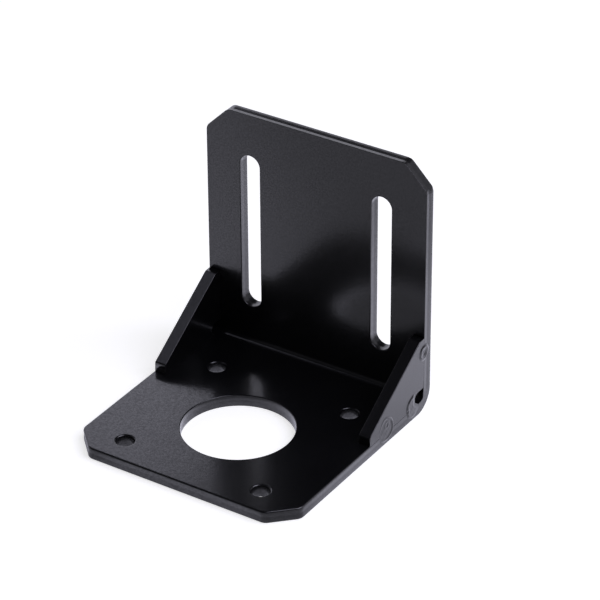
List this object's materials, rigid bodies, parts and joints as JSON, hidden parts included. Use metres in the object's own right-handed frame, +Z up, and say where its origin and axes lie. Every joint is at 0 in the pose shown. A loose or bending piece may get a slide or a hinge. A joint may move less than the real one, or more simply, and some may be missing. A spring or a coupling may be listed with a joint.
{
  "type": "motor mounting bracket",
  "caption": "Folded steel angle bracket with welded side gussets, a pilot bore and screw holes for a square motor, and long slots for adjustable wall fixing.",
  "frame": {"origin": "centre of the pilot bore on the underside of the foot", "axes": "+Z up through the pilot bore and along the upright, +Y from the bore towards the upright, +X to the right along the fold"},
  "size_m": [0.0506, 0.051, 0.0535],
  "materials": {
    "black_coat": "semi-gloss black powder coat over steel sheet"
  },
  "bodies": {
    "root": {"angle_plate": "black_coat", "left_gusset": "black_coat", "right_gusset": "black_coat", "left_tack_welds": "black_coat", "right_tack_welds": "black_coat"}
  },
  "joints": []
}
